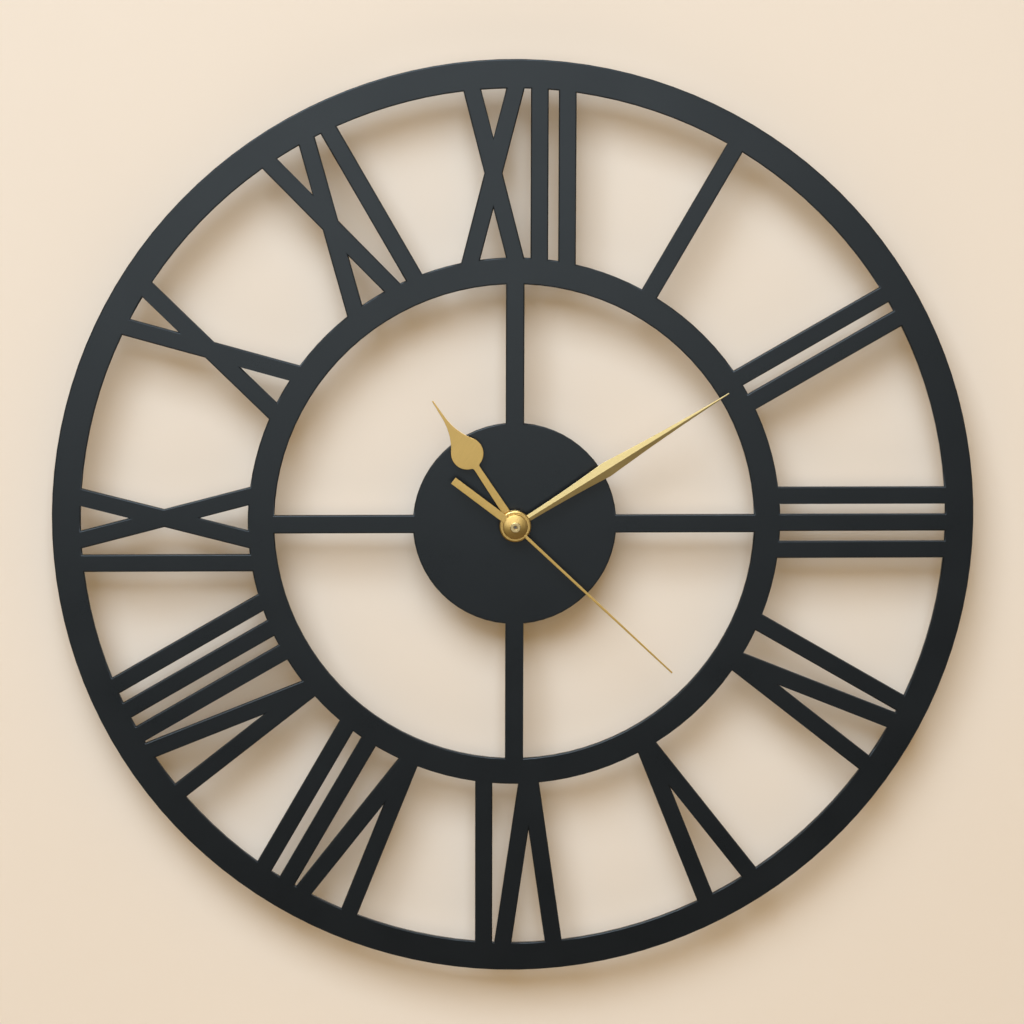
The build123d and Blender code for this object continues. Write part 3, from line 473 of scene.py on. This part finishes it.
def cadCopy(node):
    bm = bmesh.new()
    bm.from_mesh(nodes[node].data)
    weld(bm)
    flat = math.radians(meshing["flatAngle"])
    bmesh.ops.dissolve_limit(bm, angle_limit=flat, verts=bm.verts, edges=bm.edges)
    return bm


def sharpEdges(bm, leastAngle, test=None):
    least = math.radians(leastAngle)
    outward = [e for e in bm.edges if e.is_manifold and e.is_convex and e.calc_face_angle() > least]
    return [e for e in outward if test is None or test(e)]


def roundEdges(bm, edges, radius, segments):
    bmesh.ops.bevel(
        bm, geom=edges, offset=radius, offset_type="OFFSET", segments=segments, profile=0.5,
        affect="EDGES", material=-1, clamp_overlap=False, loop_slide=True)


def makePiece(bm, name, body, material, stands, crease=meshing["crease"]):
    for edge in bm.edges:
        edge.smooth = edge.is_manifold and edge.calc_face_angle() < math.radians(crease)
    for face in bm.faces:
        face.smooth = True
    mesh = bpy.data.meshes.new(name)
    bm.to_mesh(mesh)
    bm.free()
    mesh.materials.append(material)
    piece = bpy.data.objects.new(name, mesh)
    scene.collection.objects.link(piece)
    even = piece.modifiers.new("evenNormals", "WEIGHTED_NORMAL")
    even.keep_sharp = True
    even.weight = meshing["normalWeight"]
    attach(piece, body)
    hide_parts(*stands)
    return piece


def atDepth(depth):
    return lambda edge: all(abs(v.co.y - depth) < meshing["samePlane"] for v in edge.verts)


# Dial plate: the cut edges are eased, more at the front than at the back
plate = {"leastAngle": 60, "frontRadius": 0.0006, "frontSegments": 4, "backRadius": 0.0002, "backSegments": 2}
plateLow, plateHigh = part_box("dial_plate")
bm = cadCopy("dial_plate")
frontEdges = sharpEdges(bm, plate["leastAngle"], atDepth(plateLow.y))
roundEdges(bm, frontEdges, plate["frontRadius"], plate["frontSegments"])
backEdges = sharpEdges(bm, plate["leastAngle"], atDepth(plateHigh.y))
roundEdges(bm, backEdges, plate["backRadius"], plate["backSegments"])
makePiece(bm, "dialPlate", "clock", finishes["black_coat"], ["dial_plate"])
print("dial plate done")

# Hands: stamped sheet with eased edges, and rounder ones on what is turned round the axis
hands = {
    "hour_hand": {
        "piece": "hourHand", "angle": 326.7, "tone": ("deep", "pale"),
        "ease": 0.00018, "crease": 30, "round": 0.0002, "within": 0.0066,
    },
    # the minute hand takes the straw copy of the brass: painted highlight and shade for its facets
    "minute_hand": {
        "piece": "minuteHand", "angle": 57.9, "tone": ("minuteSheenDeep", "minuteSheenPale"),
        "ease": 0.00014, "crease": 16, "round": 0.0003, "within": 0.0072,
    },
    "second_hand": {
        "piece": "secondHand", "angle": 133.3, "tone": ("deep", "pale"),
        "ease": 0.00012, "crease": 30, "round": 0.00025, "within": 0.0056,
    },
}
handEdges = {
    "leastAngle": 40, "roundSegments": 3, "easeSegments": 2,
    "depth": 0.0021,  # the turned edges lie within this depth of the foremost point
    "beyond": 0.0012,  # and outside this radius
    "outOfRound": 0.00002,
}


def frontRing(within, depth):
    def onRing(edge):
        near, far = sorted(Vector((v.co.x, v.co.z - handsAxis.z)).length for v in edge.verts)
        inFront = max(v.co.y for v in edge.verts) < depth
        return inFront and far - near < handEdges["outOfRound"] and handEdges["beyond"] < near < within
    return onRing


for node, hand in hands.items():
    bm = cadCopy(node)
    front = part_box(node)[0].y + handEdges["depth"]
    turnedEdges = sharpEdges(bm, handEdges["leastAngle"], frontRing(hand["within"], front))
    roundEdges(bm, turnedEdges, hand["round"], handEdges["roundSegments"])
    roundEdges(bm, sharpEdges(bm, handEdges["leastAngle"]), hand["ease"], handEdges["easeSegments"])
    tones = [satinBrass[tone] for tone in hand["tone"]]
    brass = makeSatinBrass(hand["piece"] + "Brass", hand["angle"], *tones)
    makePiece(bm, hand["piece"], bodyOf[node], brass, [node], hand["crease"])
print("hands done")

# Pieces whose edges only need easing
easing = {"leastAngle": 50, "segments": 2}
eased = {
    "fixing_nut": {"piece": "fixingNut", "ease": 0.00025},
    "nut_washer": {"piece": "nutWasher", "ease": 0.0001},
    "threaded_bush": {"piece": "threadedBush", "ease": 0.00015},
    "rubber_gasket": {"piece": "rubberGasket", "ease": 0.0002},
    "setting_knob": {"piece": "settingKnob", "ease": 0.00012},
    "hanger_bracket": {"piece": "hangerBracket", "ease": 0.00012},
    "front_cover": {"piece": "frontCover", "ease": 0.0003},
    "rear_case": {"piece": "rearCase", "ease": 0.0004, "backOnly": True},
}
for node, piece in eased.items():
    bm = cadCopy(node)
    backOnly = atDepth(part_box(node)[1].y) if "backOnly" in piece else None
    roundEdges(bm, sharpEdges(bm, easing["leastAngle"], backOnly), piece["ease"], easing["segments"])
    makePiece(bm, piece["piece"], bodyOf[node], finishes[slotOf[node]], [node])
print("eased pieces done:", len(eased))

# Cell: turned in one profile, with rolled ends and a nub
cellForm = {
    "steps": 64, "crease": 50, "nubLength": 0.0013,
    # how far in from the flat end, and the radius there
    "flatEnd": [(0.0002, 0.0), (0.0002, 0.0042), (0.0, 0.0047), (0.0, 0.0058), (0.0003, 0.0063)],
    # how far in from the end and from the side
    "flatEdge": [(0.0001, 0.0007), (0.0003, 0.0002), (0.0007, 0.0)],
    "shoulderEdge": [(0.0007, 0.0), (0.0003, 0.0002), (0.0, 0.0007)],
    # how far back from the shoulder or from the nub's end, and the radius there
    "nubFoot": [(0.0003, 0.0062), (0.0004, 0.0033), (0.0002, 0.00275)],
    "nubEnd": [(0.0004, 0.00275), (0.0001, 0.00245), (0.0, 0.00205), (0.0, 0.0)],
}
side = (cellHigh.z - cellLow.z) / 2
shoulder = cellHigh.x - cellForm["nubLength"]
profile = [(cellLow.x + inset, radius) for inset, radius in cellForm["flatEnd"]]
profile += [(cellLow.x + inset, side - less) for inset, less in cellForm["flatEdge"]]
profile += [(shoulder - inset, side - less) for inset, less in cellForm["shoulderEdge"]]
profile += [(shoulder - inset, radius) for inset, radius in cellForm["nubFoot"]]
profile += [(cellHigh.x - inset, radius) for inset, radius in cellForm["nubEnd"]]
bm = bmesh.new()
line = [bm.verts.new((x, cellMiddle.y, cellMiddle.z + radius)) for x, radius in profile]
edges = [bm.edges.new(pair) for pair in zip(line, line[1:])]
bmesh.ops.spin(
    bm, geom=line + edges, cent=cellMiddle, axis=(1, 0, 0), angle=2 * math.pi,
    steps=cellForm["steps"], use_merge=True)
weld(bm)
bmesh.ops.recalc_face_normals(bm, faces=bm.faces)
makePiece(bm, "aaCell", "clock", finishes["cell_wrap"], ["aa_cell"], cellForm["crease"])
print("cell done")

# Everything else keeps its CAD shape
kept = [node for node in nodes.values() if not node.hide_render]
for node in kept:
    node.data.materials.clear()
    node.data.materials.append(finishes[slotOf[node.name]])
print("CAD nodes kept:", len(kept))

# Stage: a pale wall, clear from behind, and a floor far below that is only there for its light
wall = {
    "tone": (0.795, 0.712, 0.637), "light": (0.82, 0.737, 0.662), "cloudScale": 6,
    "half": 3.0, "gap": 0.0008,
}
floor = {"tone": (0.47, 0.455, 0.425), "lighter": 1.05, "cloudScale": 4, "half": 2.5, "drop": 1.5}


def stagePlane(name, half, matrix, material):
    bm = bmesh.new()
    bmesh.ops.create_grid(bm, x_segments=1, y_segments=1, size=half)
    bmesh.ops.transform(bm, matrix=matrix, verts=bm.verts)
    mesh = bpy.data.meshes.new(name)
    bm.to_mesh(mesh)
    bm.free()
    mesh.materials.append(material)
    plane = bpy.data.objects.new(name, mesh)
    scene.collection.objects.link(plane)


def makeWallPaint():
    paint = Finish("wallPaint")
    cloud = paint.noise(paint.place(), wall["cloudScale"], detail=3)
    matt = paint.node("ShaderNodeBsdfDiffuse", {}, {"Color": paint.tint(cloud, wall["tone"], wall["light"])})
    clear = paint.node("ShaderNodeBsdfTransparent")
    behind = paint.node("ShaderNodeNewGeometry", output="Backfacing")
    shadow = paint.ray("Is Shadow Ray")  # lets the lamp behind the wall light the clock's back
    either = paint.node("ShaderNodeMath", {"operation": "MAXIMUM"}, {0: behind, 1: shadow})
    return paint.close(paint.blend(either, matt, clear))


def makeFloorPaint():
    paint = Finish("floorPaint")
    cloud = paint.noise(paint.place(), floor["cloudScale"], detail=3)
    light = [channel * floor["lighter"] for channel in floor["tone"]]
    matt = paint.node("ShaderNodeBsdfDiffuse", {}, {"Color": paint.tint(cloud, floor["tone"], light)})
    clear = paint.node("ShaderNodeBsdfTransparent")
    unseen = paint.ray("Is Camera Ray") + paint.ray("Is Glossy Ray")
    return paint.close(paint.blend(unseen, matt, clear))


upright = Matrix.Rotation(math.radians(90), 4, "X")
stagePlane("backWall", wall["half"], Matrix.Translation((0, wall["gap"], 0)) @ upright, makeWallPaint())
stagePlane("floor", floor["half"], Matrix.Translation((0, 0, -floor["drop"])), makeFloorPaint())

# World: warm on matt surfaces, and in reflections neutral with a faint warm glow from below
sky = {
    "warm": [
        (0.0, (0.087, 0.047, 0.002)), (0.40, (0.097, 0.052, 0.002)),
        (0.50, (0.53, 0.290, 0.007)), (1.0, (0.60, 0.330, 0.007)),
    ],
    "neutral": [
        (0.0, (0.195, 0.152, 0.10)), (0.25, (0.17, 0.133, 0.088)), (0.38, (0.045, 0.045, 0.044)),
        (0.50, (0.26, 0.255, 0.25)), (1.0, (0.30, 0.295, 0.29)),
    ],
    "backdrop": (0.80, 0.77, 0.73, 1.0),  # what the camera sees of it
}
studio = scene.world or bpy.data.worlds.new("studio")
scene.world = studio
studio.use_nodes = True
air = Finish("studio", studio.node_tree)
up = 0.5 + 0.5 * air.part(air.node("ShaderNodeTexCoord", output="Generated"), "Z")
warm = air.node("ShaderNodeValToRGB", {"stops": sky["warm"]}, {0: up})
neutral = air.node("ShaderNodeValToRGB", {"stops": sky["neutral"]}, {0: up})
skyTone = air.tint(air.ray("Is Glossy Ray"), warm, neutral)
lit = air.node("ShaderNodeBackground", {}, {"Color": skyTone, "Strength": 1.0})
plain = air.node("ShaderNodeBackground", {}, {"Color": sky["backdrop"], "Strength": 1.0})
air.node("ShaderNodeOutputWorld", {}, {"Surface": air.blend(air.ray("Is Camera Ray"), lit, plain)})

# Lamps, aimed at the hands' axis: a large soft key above, a weak one in front and one for the back
lamps = {
    "key": {
        "azimuth": -15, "elevation": 40, "distance": 3.0, "wide": 2.3, "tall": 1.65,
        "power": 97.0, "tone": (0.722, 0.867, 1.0),
    },
    "front": {
        "azimuth": -5, "elevation": 4.8, "distance": 2.2, "wide": 1.3, "tall": 0.86,
        "power": 6.0, "tone": (0.90, 0.96, 0.97),
    },
    "back": {
        "azimuth": 150, "elevation": 35, "distance": 2.0, "wide": 1.4, "tall": 1.0,
        "power": 26.0, "tone": (1.0, 1.0, 1.0),
    },
}


def around(spot, target):
    turn = math.radians(spot["azimuth"])
    rise = math.radians(spot["elevation"])
    level = math.cos(rise)
    aside = Vector((math.sin(turn) * level, -math.cos(turn) * level, math.sin(rise)))
    return Vector(target) + spot["distance"] * aside


def aimed(place, target):
    return (Vector(target) - place).to_track_quat("-Z", "Y")


for name, lamp in lamps.items():
    light = bpy.data.lights.new(name, "AREA")
    light.shape = "RECTANGLE"
    light.size = lamp["wide"]
    light.size_y = lamp["tall"]
    light.energy = lamp["power"]
    light.color = lamp["tone"]
    holder = bpy.data.objects.new(name, light)
    scene.collection.objects.link(holder)
    holder.location = around(lamp, handsAxis)
    holder.rotation_euler = aimed(holder.location, handsAxis).to_euler()
print("stage and lamps done")

# Camera: fitted to the photograph, a long lens a little above the middle
shot = {
    "lens": 119.28, "sensor": 36, "clipStart": 0.01, "clipEnd": 50,
    "azimuth": -1.94, "elevation": 8.88, "roll": 0.15, "distance": 1.4705,
    "target": (-0.0012, -0.0205, -0.0298),
}
camera = bpy.data.cameras.new("camera")
camera.lens = shot["lens"]
camera.sensor_width = shot["sensor"]
camera.clip_start = shot["clipStart"]
camera.clip_end = shot["clipEnd"]
viewer = bpy.data.objects.new("camera", camera)
scene.collection.objects.link(viewer)
viewer.location = around(shot, shot["target"])
viewer.rotation_mode = "QUATERNION"
roll = Quaternion((0, 0, 1), math.radians(shot["roll"]))
viewer.rotation_quaternion = aimed(viewer.location, shot["target"]) @ roll
scene.camera = viewer
print("camera done")
